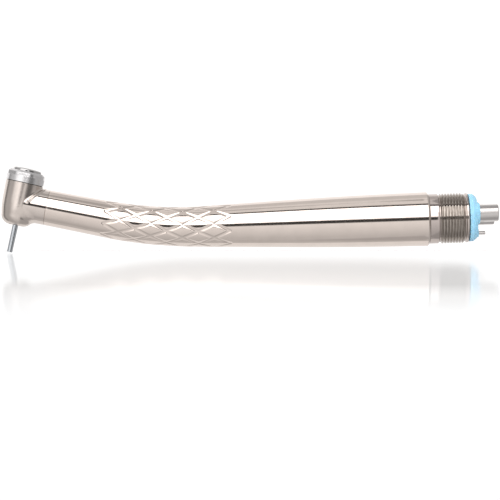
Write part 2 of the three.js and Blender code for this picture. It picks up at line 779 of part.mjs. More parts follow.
const lineRear = BLOCK_FRONT - LINE_SOCKET_DEPTH + FIT;
const lineFront = HEAD_STATION - 5.9;
const washerTop = LOWER_BEARING - BEARING_WIDTH / 2 - WASHER_GAP;
const preloadWasher = waveRing(PRELOAD_WASHER, SEAT_FLOOR + WASHER_GAP, washerTop);
const buttonSpring = waveRing(BUTTON_SPRING, CAP_WEB_TOP + FIT, BUTTON_UNDERSIDE - FIT);

const head = new THREE.Group();
const headAxis = axisAt(HEAD_STATION);
head.rotation.y = HEAD_TILT;
head.position.set(
  headAxis.x - HEAD_AXIS_HEIGHT * Math.sin(HEAD_TILT),
  0,
  headAxis.z - HEAD_AXIS_HEIGHT * Math.cos(HEAD_TILT),
);
head.add(
  part("head_housing", headHousing(), STEEL),
  part("head_cap", headCap(), CAP_STEEL),
  part("push_button", pushButton(), STEEL),
  part("button_retainer", buttonRetainer(), SPRING_STEEL),
  part("button_spring", buttonSpring, SPRING_STEEL),
  part("upper_bearing_outer_race", outerRace(UPPER_BEARING), BEARING_STEEL),
  part("upper_bearing_ball_cage", ballCage(UPPER_BEARING), CAGE_POLYMER),
  part("upper_bearing_inner_race", innerRace(UPPER_BEARING), BEARING_STEEL),
  part("upper_bearing_o_ring", bearingORing(UPPER_BEARING), BLACK_RUBBER),
  part("lower_bearing_outer_race", outerRace(LOWER_BEARING), BEARING_STEEL),
  part("lower_bearing_ball_cage", ballCage(LOWER_BEARING), CAGE_POLYMER),
  part("lower_bearing_inner_race", innerRace(LOWER_BEARING), BEARING_STEEL),
  part("lower_bearing_o_ring", bearingORing(LOWER_BEARING), BLACK_RUBBER),
  part("preload_washer", preloadWasher, SPRING_STEEL),
  part("spindle", spindle(), BRIGHT_STEEL),
  part("chuck_collet", chuckCollet(), BRIGHT_STEEL),
  part("chuck_pusher", chuckPusher(), BRIGHT_STEEL),
  part("impeller", impeller(), IMPELLER_ALLOY),
  part("bur", bur(), BRIGHT_STEEL),
);

const handpiece = new THREE.Group();
handpiece.add(
  head,
  part("handle_shell", handleShell(), STEEL),
  part("drive_air_line", insideLine(DRIVE_AIR, DRIVE_LINE, lineRear, lineFront), BRIGHT_STEEL),
  part("water_line", insideLine(WATER, WATER_LINE, lineRear, lineFront), BRIGHT_STEEL),
  part("chip_air_line", insideLine(CHIP_AIR, CHIP_LINE, lineRear, lineFront), BRIGHT_STEEL),
  part("connector_body", connectorBody(), THREAD_STEEL),
  part("connector_o_ring", connectorORing(), BLACK_RUBBER),
  part("exhaust_tube", couplingTube(EXHAUST), STEEL),
  part("drive_air_tube", couplingTube(DRIVE_AIR), BRIGHT_STEEL),
  part("water_tube", couplingTube(WATER), BRIGHT_STEEL),
  part("chip_air_tube", couplingTube(CHIP_AIR), BRIGHT_STEEL),
  part("coupling_gasket", couplingGasket(), BLUE_SILICONE),
);

export default handpiece;
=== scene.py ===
"""High speed dental handpiece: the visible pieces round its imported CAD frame.

Sizes are millimetres in the CAD's frame, and MM turns them into Blender's metres. The origin is the centre
of the coupling's gasket face, +X points out of the coupling, +Z is up and the head lies towards -X.
"""
import json
import math

import bpy
import numpy as np
from mathutils import Matrix, Vector


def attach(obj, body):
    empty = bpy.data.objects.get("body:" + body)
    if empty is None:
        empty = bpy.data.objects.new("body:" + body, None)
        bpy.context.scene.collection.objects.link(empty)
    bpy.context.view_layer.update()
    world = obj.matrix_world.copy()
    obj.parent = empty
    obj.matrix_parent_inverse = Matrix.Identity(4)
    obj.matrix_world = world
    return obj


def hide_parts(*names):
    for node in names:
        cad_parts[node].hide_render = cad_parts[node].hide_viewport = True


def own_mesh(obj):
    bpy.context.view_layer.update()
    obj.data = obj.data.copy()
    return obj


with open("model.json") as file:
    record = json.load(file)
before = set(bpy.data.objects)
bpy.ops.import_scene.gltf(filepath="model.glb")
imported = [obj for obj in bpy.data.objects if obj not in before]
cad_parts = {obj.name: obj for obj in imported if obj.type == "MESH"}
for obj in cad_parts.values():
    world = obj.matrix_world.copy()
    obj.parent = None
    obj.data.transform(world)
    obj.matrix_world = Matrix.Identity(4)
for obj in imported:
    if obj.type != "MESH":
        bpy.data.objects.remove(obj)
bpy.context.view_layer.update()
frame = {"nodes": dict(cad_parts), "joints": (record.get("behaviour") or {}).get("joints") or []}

MM = 0.001

# Handle axis, measured forwards from the origin: straight, one bend upwards, then the straight neck.
BEND_START = 74.2
BEND_RADIUS = 117
NECK_ANGLE = math.radians(12.8)
BEND_END = BEND_START + BEND_RADIUS * NECK_ANGLE
HEAD_STATION = BEND_END + 23.3
NECK_SEAM = HEAD_STATION - 7.4
NECK_RADIUS = 4.77
HANDLE_REAR = 12.87
HANDLE_REAR_RADIUS = 7.3
HANDLE_WALL = 0.8
HANDLE_STATIONS = [
    (HANDLE_REAR, HANDLE_REAR_RADIUS), (28, 7.07), (41, 6.75), (54, 6.29), (67, 5.77),
    (80, 5.32), (93, 5.09), (106, 4.88), (NECK_SEAM, NECK_RADIUS),
]

# Grip grooves: two families of crossing helices on the bend.
GRIP_START = 66.5
GRIP_PITCH = 8.45
GRIP_ROWS = 4
GRIP_END = GRIP_START + GRIP_PITCH * GRIP_ROWS
GRIP_STARTS = 9
GRIP_PHASE = math.radians(15)
GROOVE_WIDTH = 1.02
GROOVE_BALL = 0.95

# Head, measured upwards from the nose along its own axis.
HEAD_TILT = math.radians(14.3)
HEAD_AXIS_HEIGHT = 6.45
HEAD_SEAM = 11.9
HEAD_TOP = HEAD_SEAM - 0.08
HEAD_STATIONS = [
    (0, 3.98), (1.5, 4.17), (2.9, 4.42), (4.2, 4.68), (5.6, 4.84), (7.5, 4.94), (HEAD_SEAM, 5.06),
]
NOSE_HEIGHT = 0.2
NOSE_RADIUS = 2.2
NOSE_OPENING = 1.75
SPRAY_PORTS = {"count": 3, "circle": 2.3, "radius": 0.25, "depth": 1}

# The head's neck, measured backwards from the head's axis along the neck's own.
NECK_END = HEAD_STATION - NECK_SEAM - 0.03
NECK_BORE = {"radius": 3.6, "front": 5.4}
SPIGOT = {"radius": 4.15, "length": 3.9}

# The head's bore at each height: a coned floor, the bearing's seat, the turbine's chamber, the cap's bore.
SEAT_RADIUS = 3.87
HEAD_BORE = [(1.5, 3.2), (2.6, SEAT_RADIUS), (4.4, SEAT_RADIUS), (4.6, 4.15), (8.1, 4.15), (8.3, 4.34)]

# Cap, button, bur and spindle, on the head's axis too.
CAP_RADIUS = 5.12
CAP_TOP = 15.0
CAP_EDGE = 0.55
CAP_FLATS = 8
CAP_FLATS_RADIUS = 4.89
CAP_FLATS_START = 13.6
CAP_SEAM_DEPTH = 0.35
CAP_SKIRT = {"radius": 4.27, "bottom": 8.4}
CAP_SHOULDER = {"bore": 2.8, "bottom": 11.06, "top": 11.6}
CAP_CHAMBER_RADIUS = 3.6
CAP_WEB = {"bore": 2.2, "bottom": 13, "top": 13.5}
CAP_MOUTH_RADIUS = 4.0
BUTTON_RADIUS = 3.85
BUTTON_TOP = 16.0
BUTTON_UNDERSIDE = 14.85
BUTTON_STEM = {"radius": 2.1, "bottom": 12.45}
BUTTON_NECK = {"radius": 1.5, "top": 12.9}
BUTTON_SPRING = {"bottom": 13.55, "top": 14.8, "wire": 0.2, "bore": 2.9, "radius": 3.7, "waves": 3}
BUR = {"tip": -7.2, "tip_radius": 0.75, "shank_start": -0.6, "radius": 0.8, "top": 9.4}
SPINDLE = {"radius": 1.58, "bore": 1.17, "bottom": 0.45, "top": 11.2}
SPINDLE_SHOULDER = {"radius": 2, "bottom": 4.35, "top": 4.95}
SPINDLE_LIP = {"radius": 0.85, "bottom": 10.6}

# Coupling, measured forwards from the gasket's face.
BLOCK = {"rear": 2.2, "front": 15}
REAR_GROOVE_RADIUS = 6.25
LAND = {"radius": 6.65, "start": 2.42, "end": 2.95}
THREAD_START = 3.3
THREAD_END = 10.05
THREAD_ROOT = 6.34
THREAD_CREST = 6.76
THREAD_PITCH = 0.78
COLLAR = {"radius": 6.7, "start": 10.45, "end": 12.82}
SLEEVE = {"radius": 5.95, "bore": 5.2, "front": 23}
SLIDING_FIT = 0.05

# Gasket: its rim stands back from its bevelled face, in which a moat leaves a raised lip round each tube.
GASKET_RIM = {"radius": 6.4, "start": 1.05, "end": 2.14}
GASKET_FACE = {"radius": 6.38, "bevel_radius": 5.75, "bevel_depth": 0.2}
GASKET_MOAT = {"radius": 5.1, "depth": 0.35}
GASKET_LIP = {"height": 0.62, "wide": 0.5, "wide_on_thin_tube": 0.62}

# Coupling tubes: place across the axis, outer and bore radius, and reach past the gasket face.
COUPLING_TUBES = {
    "exhaust_tube": {"y": -2.88, "z": 1.05, "radius": 2.32, "bore": 1.95, "tip": 5.6},
    "drive_air_tube": {"y": 2.84, "z": -0.75, "radius": 1.3, "bore": 0.95, "tip": 5.1},
    "water_tube": {"y": 0.87, "z": -4.2, "radius": 0.5, "bore": 0.3, "tip": 2.4},
    "chip_air_tube": {"y": 2.92, "z": 3.02, "radius": 0.5, "bore": 0.3, "tip": 2.4},
}
TUBE_SEAT = 10.15

# Spacing of the finest meshes, and the radius at which an outline that reaches its axis ends.
NET_PITCH = 0.13
PINPOINT = 0.02


# ---- Shapes: each is (vertices, faces), and facing directions where they matter, in millimetres ----

def lathe(radius, height, closed=True, angle=None):
    """Rows of radius and height, one number for each step round, turned about Z."""
    rows, around = radius.shape
    if angle is None:
        angle = np.linspace(0, 2 * math.pi, around, endpoint=False)
    vertices = np.stack([radius * np.cos(angle), radius * np.sin(angle), height], -1).reshape(-1, 3)
    low = np.arange(rows if closed else rows - 1)[:, None]
    step = np.arange(around)[None, :]
    high, after = (low + 1) % rows, (step + 1) % around
    quads = np.stack(np.broadcast_arrays(
        low * around + step, low * around + after, high * around + after, high * around + step), -1)
    faces = quads.reshape(-1, 4).tolist()
    if not closed:
        first, last = range(around), range((rows - 1) * around, rows * around)
        faces += [[*reversed(first)], [*last]]
    return vertices, faces


def turned(profile, around=128, closed=True):
    """A profile of (radius, height) turned about Z."""
    profile = np.asarray(profile, float)
    ones = np.ones((1, around))
    return lathe(profile[:, :1] * ones, profile[:, 1:] * ones, closed)


def rounded(corners, steps=6):
    """A profile whose corners, each (radius, height, fillet), are rounded off."""
    points = []
    for i, (radius, height, fillet) in enumerate(corners):
        here = np.array([radius, height], float)
        if not fillet:
            points.append(here)
            continue
        before = np.array(corners[i - 1][:2]) - here
        after = np.array(corners[(i + 1) % len(corners)][:2]) - here
        before /= np.linalg.norm(before)
        after /= np.linalg.norm(after)
        half = math.acos(np.clip(before @ after, -1, 1)) / 2
        centre = here + (before + after) / np.linalg.norm(before + after) * fillet / math.sin(half)
        start = here + before * fillet / math.tan(half) - centre
        end = here + after * fillet / math.tan(half) - centre
        first = math.atan2(start[1], start[0])
        sweep = (math.atan2(end[1], end[0]) - first + math.pi) % (2 * math.pi) - math.pi
        for k in range(steps + 1):
            angle = first + sweep * k / steps
            points.append(centre + fillet * np.array([math.cos(angle), math.sin(angle)]))
    return np.array(points)


def surface_net(field, low, high, pitch, polish=4):
    """The surface where field is zero, meshed on a grid and then drawn exactly onto it."""
    axes = [np.arange(a, b + pitch, pitch) for a, b in zip(low, high)]
    grid = np.stack(np.meshgrid(*axes, indexing="ij"), -1)
    value = field(grid.reshape(-1, 3)).reshape(grid.shape[:3])
    inside = value < 0
    cells = tuple(n - 1 for n in value.shape)
    total, count = np.zeros(cells + (3,)), np.zeros(cells)
    crossings = []
    for axis in range(3):
        first = [slice(None)] * 3
        second = [slice(None)] * 3
        first[axis], second[axis] = slice(0, -1), slice(1, None)
        first, second = tuple(first), tuple(second)
        cross = inside[first] != inside[second]
        share = value[first] / np.where(cross, value[first] - value[second], 1)
        point = grid[first] + (grid[second] - grid[first]) * share[..., None]
        crossings.append((axis, cross, inside[first]))
        others = [a for a in range(3) if a != axis]
        for i in (0, 1):
            for j in (0, 1):
                take = [slice(None)] * 3
                take[others[0]] = slice(i, i + cells[others[0]])
                take[others[1]] = slice(j, j + cells[others[1]])
                take = tuple(take)
                total += point[take] * cross[take][..., None]
                count += cross[take]
    used = count > 0
    number = np.full(cells, -1)
    number[used] = np.arange(used.sum())
    vertices = total[used] / count[used][:, None]
    faces = []
    for axis, cross, starts_inside in crossings:
        others = [a for a in range(3) if a != axis]
        where = np.argwhere(cross)
        keep = np.all([(where[:, a] > 0) & (where[:, a] < cells[a]) for a in others], axis=0)
        where = where[keep]
        corner = []
        for i, j in ((-1, -1), (0, -1), (0, 0), (-1, 0)):
            cell = where.copy()
            cell[:, others[0]] += i
            cell[:, others[1]] += j
            corner.append(number[tuple(cell.T)])
        quad = np.stack(corner, -1)
        flip = starts_inside[tuple(where.T)] == (axis == 1)
        quad[flip] = quad[flip][:, ::-1]
        faces += quad.tolist()
    for _ in range(polish):
        slope = slope_of(field, vertices)
        steepness = np.maximum((slope ** 2).sum(-1), 0.05)
        move = (field(vertices) / steepness)[:, None] * slope
        size = np.linalg.norm(move, axis=-1, keepdims=True)
        vertices = vertices - move * np.minimum(1, 0.5 * pitch / np.maximum(size, 1e-9))
    slope = slope_of(field, vertices)
    return vertices, faces, slope / np.linalg.norm(slope, axis=-1, keepdims=True)


def slope_of(field, vertices, reach=0.002):
    """How fast a field grows along each axis."""
    steps = reach * np.eye(3)
    return np.stack([field(vertices + step) - field(vertices - step) for step in steps], -1) / (2 * reach)


def sharpen(net, wall, end, reach=0.11):
    """Draws a net's vertices near the edge between two fields onto that edge, facing as the wall does."""
    vertices, faces, normals = net
    near = (np.abs(wall(vertices)) < reach) & (np.abs(end(vertices)) < reach)
    edge = vertices[near]
    for _ in range(5):
        for field in (end, wall):
            edge = edge - field(edge)[:, None] * slope_of(field, edge)
    vertices[near], normals[near] = edge, slope_of(wall, edge)
    return net


def ease(t):
    """0 to 1, smoothly, as t goes from 0 to 1."""
    t = np.clip(t, 0, 1)
    return t * t * (3 - 2 * t)


def join_round(a, b, radius):
    """The join of two fields, with a fillet in the corner between them."""
    reach = np.hypot(np.maximum(radius - a, 0), np.maximum(radius - b, 0))
    return np.maximum(radius, np.minimum(a, b)) - reach


def meet_round(a, b, radius):
    """What two fields share, with its edge rounded off."""
    return -join_round(-a, -b, radius)


# ---- Places: from a shape's own axes to the CAD's frame ----

def axis_at(station):
    """The handle's axis at each station: x, z and slope."""
    angle = np.clip((station - BEND_START) / BEND_RADIUS, 0, NECK_ANGLE)
    neck = np.maximum(station - BEND_END, 0)
    x = -np.minimum(station, BEND_START) - BEND_RADIUS * np.sin(angle) - neck * np.cos(angle)
    z = BEND_RADIUS * (1 - np.cos(angle)) + neck * np.sin(angle)
    return x, z, angle


def on_handle(vertices):
    """A shape's height runs forwards along the handle, and its X points up."""
    up, across, station = np.asarray(vertices, float).T
    x, z, angle = axis_at(station)
    return np.stack([x + up * np.sin(angle), across, z + up * np.cos(angle)], -1)


spin = next(j for j in frame["joints"] if j["name"] == "rotor_spin")
HEAD_ORIGIN = np.array(spin["pos_m"]) / MM
HEAD_UP = np.array(spin["axis"], float)
HEAD_BACK = np.cross([0, 1, 0], HEAD_UP)


def on_head(vertices):
    """A shape's height runs up the head's axis, and its X points back towards the neck."""
    back, across, up = np.asarray(vertices, float).T
    return HEAD_ORIGIN + np.outer(back, HEAD_BACK) + np.outer(up, HEAD_UP) + np.outer(across, [0, 1, 0])


def beside_axis(tube):
    """A shape's height runs forwards along the handle, about a coupling tube's own axis."""
    def place(vertices):
        return on_handle(np.asarray(vertices) + [tube["z"], tube["y"], 0])
    return place


# ---- Materials ----

def new_material(name):
    material = bpy.data.materials.new(name)
    material.use_nodes = True
    nodes, links = material.node_tree.nodes, material.node_tree.links
    return material, nodes, links, nodes["Principled BSDF"]


def noise(nodes, links, scale, stretch=(1, 1, 1), tilt=0.0, detail=3.0):
    """Noise in the object's own metres: its scale along each axis is times stretch, and it leans by tilt."""
    place = nodes.new("ShaderNodeTexCoord")
    mapping = nodes.new("ShaderNodeMapping")
    mapping.vector_type = "TEXTURE"
    mapping.inputs["Rotation"].default_value = (0, tilt, 0)
    mapping.inputs["Scale"].default_value = [1 / (scale * s) for s in stretch]
    texture = nodes.new("ShaderNodeTexNoise")
    texture.inputs["Scale"].default_value = 1.0
    texture.inputs["Detail"].default_value = detail
    links.new(place.outputs["Object"], mapping.inputs["Vector"])
    links.new(mapping.outputs["Vector"], texture.inputs["Vector"])
    return texture.outputs["Fac"]


def spread(nodes, links, value, low, high, start=0.3, end=0.7):
    """Turns a value that runs from start to end into one that runs from low to high."""
    node = nodes.new("ShaderNodeMapRange")
    node.inputs["From Min"].default_value = start
    node.inputs["From Max"].default_value = end
    node.inputs["To Min"].default_value = low
    node.inputs["To Max"].default_value = high
    links.new(value, node.inputs["Value"])
    return node.outputs["Result"]


def blend_colours(nodes, links, value, first, second):
    node = nodes.new("ShaderNodeMix")
    node.data_type = "RGBA"
    node.inputs["A"].default_value = (*first, 1)
    node.inputs["B"].default_value = (*second, 1)
    links.new(value, node.inputs["Factor"])
    return node.outputs["Result"]


def bump(nodes, links, shader, value, depth, strength=None):
    node = nodes.new("ShaderNodeBump")
    node.inputs["Distance"].default_value = depth
    if strength:
        links.new(strength, node.inputs["Strength"])
    links.new(value, node.inputs["Height"])
    links.new(node.outputs["Normal"], shader.inputs["Normal"])


# Roughness of steel whose tool marks are polished away.
POLISHED = 0.07


def metal(name, colour, roughness, grain, depth=0.4e-6, haze=0.03, tilt=0.0, polish=None):
    """Machined steel: tool marks along one axis, a soft handling haze and slight changes of tint.

    polish makes a value that is 1 where the marks are polished away and 0 where they stay.
    """
    material, nodes, links, shader = new_material(name)
    shader.inputs["Metallic"].default_value = 1.0
    shader.inputs["IOR"].default_value = 2.5
    cloud = noise(nodes, links, 260, detail=4)
    lines = noise(nodes, links, 1, stretch=grain, tilt=tilt, detail=2)
    shade = [c * 0.94 for c in colour]
    tint = blend_colours(nodes, links, spread(nodes, links, cloud, 0, 1), colour, shade)
    links.new(tint, shader.inputs["Base Color"])
    smear = spread(nodes, links, cloud, roughness, roughness + haze)
    streak = spread(nodes, links, lines, 0, haze)
    total = nodes.new("ShaderNodeMath")
    total.operation = "ADD"
    links.new(smear, total.inputs[0])
    links.new(streak, total.inputs[1])
    rough, strength = total.outputs[0], None
    if polish:
        smooth = polish(nodes, links)
        mix = nodes.new("ShaderNodeMix")
        links.new(smooth, mix.inputs["Factor"])
        links.new(rough, mix.inputs["A"])
        mix.inputs["B"].default_value = POLISHED
        rough = mix.outputs["Result"]
        strength = spread(nodes, links, smooth, 1, 0.05, 0, 1)
    links.new(rough, shader.inputs["Roughness"])
    bump(nodes, links, shader, lines, depth, strength)
    return material


def off_the_barrel(nodes, links):
    """0 on the head's round body and 1 on its neck, by the distance from the head's axis."""
    place = nodes.new("ShaderNodeTexCoord")
    from_nose = nodes.new("ShaderNodeVectorMath")
    from_nose.operation = "SUBTRACT"
    from_nose.inputs[1].default_value = HEAD_ORIGIN * MM
    links.new(place.outputs["Object"], from_nose.inputs[0])
    sideways = nodes.new("ShaderNodeVectorMath")
    sideways.operation = "CROSS_PRODUCT"
    sideways.inputs[1].default_value = HEAD_UP
    links.new(from_nose.outputs[0], sideways.inputs[0])
    reach = nodes.new("ShaderNodeVectorMath")
    reach.operation = "LENGTH"
    links.new(sideways.outputs[0], reach.inputs[0])
    up = nodes.new("ShaderNodeVectorMath")
    up.operation = "DOT_PRODUCT"
    up.inputs[1].default_value = HEAD_UP
    links.new(from_nose.outputs[0], up.inputs[0])
    barrel_start, narrow, wide = 5 * MM, 4.84 * MM, 5.06 * MM
    wall = spread(nodes, links, up.outputs["Value"], narrow, wide, barrel_start, HEAD_SEAM * MM)
    beyond = nodes.new("ShaderNodeMath")
    beyond.operation = "SUBTRACT"
    links.new(reach.outputs["Value"], beyond.inputs[0])
    links.new(wall, beyond.inputs[1])
    return spread(nodes, links, beyond.outputs[0], 0, 1, 0.02 * MM, 0.14 * MM)


def soft_plastic(name, colour, shade, roughness, grain=4000, depth=6e-6, subsurface=0.0):
    """Moulded rubber, silicone or polymer with a fine matt grain."""
    material, nodes, links, shader = new_material(name)
    cloud = noise(nodes, links, 500, detail=3)
    fine = noise(nodes, links, grain, detail=2)
    tint = blend_colours(nodes, links, spread(nodes, links, cloud, 0, 1), colour, shade)
    links.new(tint, shader.inputs["Base Color"])
    links.new(spread(nodes, links, fine, roughness, roughness + 0.12), shader.inputs["Roughness"])
    shader.inputs["Subsurface Weight"].default_value = subsurface
    shader.inputs["Subsurface Radius"].default_value = (0.4, 0.7, 1.0)
    shader.inputs["Subsurface Scale"].default_value = 0.0008
    bump(nodes, links, shader, fine, depth)
    return material


AROUND_HANDLE = (9000, 60, 60)
AROUND_HEAD = (60, 60, 9000)
ALL_WAYS = (3000, 3000, 3000)
SATIN = 14e-6
steel = metal("satin_steel", (0.77, 0.69, 0.635), 0.06, AROUND_HANDLE)
head_steel = metal("head_satin_steel", (0.70, 0.635, 0.59), 0.19, AROUND_HEAD, SATIN, tilt=HEAD_TILT,
                   polish=off_the_barrel)
cap_steel = metal("cap_steel", (0.82, 0.82, 0.83), 0.27, AROUND_HEAD, SATIN, tilt=HEAD_TILT)
button_steel = metal("button_steel", (0.62, 0.62, 0.62), 0.09, AROUND_HEAD, tilt=HEAD_TILT)
collar_steel = metal("collar_steel", (0.56, 0.50, 0.47), 0.07, AROUND_HANDLE)
thread_steel = metal("thread_steel", (0.42, 0.38, 0.345), 0.07, AROUND_HANDLE)
bright_steel = metal("bright_steel", (0.62, 0.66, 0.70), 0.1, AROUND_HEAD, tilt=HEAD_TILT)
tube_steel = metal("tube_steel", (0.64, 0.62, 0.61), 0.13, AROUND_HANDLE)
bearing_steel = metal("bearing_steel", (0.62, 0.64, 0.67), 0.06, AROUND_HEAD, tilt=HEAD_TILT)
spring_steel = metal("spring_steel", (0.45, 0.46, 0.47), 0.2, ALL_WAYS)
impeller_alloy = metal("impeller_alloy", (0.66, 0.63, 0.58), 0.22, ALL_WAYS)
silicone = soft_plastic("blue_silicone", (0.39, 0.75, 0.98), (0.35, 0.70, 0.95), 0.32, subsurface=0.15)
rubber = soft_plastic("black_rubber", (0.015, 0.015, 0.016), (0.03, 0.03, 0.03), 0.5)
# Painted shade: a dark matt colour for the cap's seam groove that stands in for the shade inside the gap
# between cap and head.
seam_painted_shade = soft_plastic("seam_painted_shade", (0.05, 0.045, 0.04), (0.03, 0.03, 0.03), 0.6)
polymer = soft_plastic("cage_polymer", (0.20, 0.10, 0.035), (0.16, 0.08, 0.03), 0.4)


# ---- Making pieces ----

def piece(name, shape, place, material, slot, body, *nodes, sharp=32):
    """One visible piece, in place, riding on a body and standing for the CAD nodes named."""
    vertices, faces, *normals = shape
    placed = place(vertices)
    mesh = bpy.data.meshes.new(name)
    mesh.from_pydata((placed * MM).tolist(), [], faces)
    mesh.shade_smooth()
    if sharp:
        mesh.set_sharp_from_angle(angle=math.radians(sharp))
    if normals:
        ahead = (place(vertices + 0.001 * normals[0]) - placed) / 0.001
        mesh.normals_split_custom_set_from_vertices(ahead.tolist())
    mesh.materials.append(material)
    made = bpy.data.objects.new(name, mesh)
    bpy.context.scene.collection.objects.link(made)
    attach(made, body)
    if nodes:
        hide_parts(*nodes)
    return made


def paint(made, material, faces):
    """Gives some of a piece's faces a second material."""
    made.data.materials.append(material)
    for index in faces:
        made.data.polygons[index].material_index = 1


# ---- Handle ----

def smooth_curve(stations):
    """A smooth curve of radius along an axis, through the stations given."""
    points = np.array(stations, float)
    last = len(points) - 1
    t = np.linspace(0, last, 400)
    i = np.minimum(t.astype(int), last - 1)
    f = (t - i)[:, None]
    p0, p1 = points[np.maximum(i - 1, 0)], points[i]
    p2, p3 = points[i + 1], points[np.minimum(i + 2, last)]
    v0, v1 = (p2 - p0) / 2, (p3 - p1) / 2
    curve = (2 * p1 - 2 * p2 + v0 + v1) * f ** 3 + (3 * p2 - 3 * p1 - 2 * v0 - v1) * f ** 2 + v0 * f + p1
    return lambda station: np.interp(station, curve[:, 0], curve[:, 1])


handle_radius = smooth_curve(HANDLE_STATIONS)
head_radius = smooth_curve(HEAD_STATIONS)


def groove_depth(station, angle, radius):
    """How deep the crossing ball-nosed grooves cut at each place."""
    pitch_angle = 2 * math.pi / GRIP_STARTS
    slope = pitch_angle / GRIP_PITCH
    middle_radius = 5.3
    lean = math.cos(math.atan(slope * middle_radius))
    beyond = np.maximum(np.maximum(GRIP_START - station, station - GRIP_END), 0)
    inside = np.clip(station, GRIP_START, GRIP_END) - GRIP_START
    deepest = np.zeros_like(angle)
    lift = math.sqrt(GROOVE_BALL ** 2 - (GROOVE_WIDTH / 2) ** 2)
    for hand in (1, -1):
        turn = (angle - GRIP_PHASE - hand * slope * inside) / pitch_angle
        across = (turn - np.round(turn)) * pitch_angle * radius * lean
        distance = np.hypot(across, beyond)
        cut = np.sqrt(np.maximum(GROOVE_BALL ** 2 - distance ** 2, 0)) - lift
        deepest = np.maximum(deepest, cut)
    return deepest


def handle_stations(rear, front):
    """Where the handle's outside has rows of vertices: close together along the grip, sparse elsewhere."""
    return np.concatenate([
        np.linspace(rear, GRIP_START - 1.2, 46),
        np.arange(GRIP_START - 1, GRIP_END + 1, 0.11),
        np.linspace(GRIP_END + 1.2, front, 20),
    ])


def handle_shape(around=320):
    """The handle: a tapered tube with the grip cut into it, from its chamfered rear round to its bore."""
    chamfer, seam_chamfer = 0.45, 0.1
    rear_bore = SLEEVE["radius"] + SLIDING_FIT
    front_bore = SPIGOT["radius"] + SLIDING_FIT
    rear = rounded([
        (rear_bore, HANDLE_REAR, 0),
        (HANDLE_REAR_RADIUS - chamfer, HANDLE_REAR, 0.12),
        (HANDLE_REAR_RADIUS, HANDLE_REAR + chamfer, 0.12),
        (HANDLE_REAR_RADIUS - 0.02, HANDLE_REAR + 2, 0),
    ])[:-1]
    outside = handle_stations(HANDLE_REAR + chamfer + 0.12, NECK_SEAM - seam_chamfer - 0.05)
    ahead = [
        (NECK_RADIUS, NECK_SEAM - seam_chamfer), (NECK_RADIUS - seam_chamfer, NECK_SEAM),
        (front_bore, NECK_SEAM),
    ]
    spigot_end, sleeve_end = NECK_SEAM - 4.5, SLEEVE["front"] + 1
    ahead.append((front_bore, spigot_end))
    for station in np.linspace(spigot_end - 1.5, sleeve_end + 2, 40):
        ahead.append((min(handle_radius(station) - HANDLE_WALL, rear_bore - 0.2), station))
    ahead.append((rear_bore, sleeve_end))
    profile = np.concatenate([rear, np.stack([handle_radius(outside), outside], -1), ahead])
    radius, height = [np.repeat(column[:, None], around, 1) for column in profile.T]
    rows = slice(len(rear), len(rear) + len(outside))
    angle = np.broadcast_to(np.linspace(0, 2 * math.pi, around, endpoint=False), radius[rows].shape)
    radius[rows] -= groove_depth(height[rows], angle, radius[rows])
    return lathe(radius, height)


# ---- Head ----

def from_neck(point):
    """How far back along the neck's axis each point is, and how far off that axis."""
    back, across, up = point.T
    lean = HEAD_TILT - NECK_ANGLE
    along = back * math.cos(lean) + (up - HEAD_AXIS_HEIGHT) * math.sin(lean)
    above = (up - HEAD_AXIS_HEIGHT) * math.cos(lean) - back * math.sin(lean)
    return along, np.hypot(across, above)


def head_wall(point):
    """How far outside the head's tapered side each point is."""
    back, across, up = point.T
    return np.hypot(back, across) - head_radius(up)


def head_outside(point):
    """The head's round-nosed body and its neck, joined by a fillet below and a raised lip above."""
    back, across, up = point.T
    along, off_axis = from_neck(point)
    wall = head_wall(point)
    body = meet_round(wall, NOSE_HEIGHT - up, NOSE_RADIUS)
    # 1 where body and neck face the same way, at the sides, and 0 where they cross squarely.
    alike = np.minimum(across ** 2 / np.maximum(np.hypot(back, across) * off_axis, 1), 1) ** 2
    narrow = 1.1 - 0.7 * alike
    lip = 0.16 * ease(1 - np.abs(wall - 0.8 * narrow) / (0.5 * narrow)) * ease((up - 6.4) / 1.2)
    neck = np.maximum(np.maximum(off_axis - NECK_RADIUS - lip, along - NECK_END), -along)
    fillet = 0.45 + 1.6 * ease((6.8 - up) / 3.2) - 1.3 * ease((3.2 - up) / 1.8)
    joined = join_round(body, neck, fillet * (1.02 - alike))
    spigot = np.maximum(off_axis - SPIGOT["radius"], np.abs(along - NECK_END) - SPIGOT["length"])
    return np.maximum(np.minimum(joined, spigot), up - HEAD_TOP)


def head_hollow(point):
    """What is bored out of the head: the cartridge's seat, the neck, the nose and the spray ports."""
    back, across, up = point.T
    reach = np.hypot(back, across)
    along, off_axis = from_neck(point)
    heights, radii = zip(*HEAD_BORE)
    seat = np.maximum(reach - np.interp(up, heights, radii), heights[0] - up)
    neck = np.maximum(off_axis - NECK_BORE["radius"], NECK_BORE["front"] - along)
    hollow = np.minimum(np.minimum(seat, neck), reach - NOSE_OPENING)
    circle, radius = SPRAY_PORTS["circle"], SPRAY_PORTS["radius"]
    for k in range(SPRAY_PORTS["count"]):
        angle = 2 * math.pi * k / SPRAY_PORTS["count"]
        port = np.hypot(back - circle * math.cos(angle), across - circle * math.sin(angle)) - radius
        hollow = np.minimum(hollow, np.maximum(port, up - SPRAY_PORTS["depth"]))
    return hollow


def head_field(point):
    """The head housing, negative inside, with every edge broken."""
    return meet_round(head_outside(point), -head_hollow(point), 0.06)


def head_shape():
    """The head housing, with crisp edges where it meets the cap and the handle."""
    net = surface_net(head_field, (-5.4, -5.4, 0), (12.2, 5.4, 12.2), NET_PITCH)
    sharpen(net, head_wall, lambda point: point[:, 2] - HEAD_TOP)
    return sharpen(net, lambda point: from_neck(point)[1] - NECK_RADIUS,
                   lambda point: from_neck(point)[0] - NECK_END)


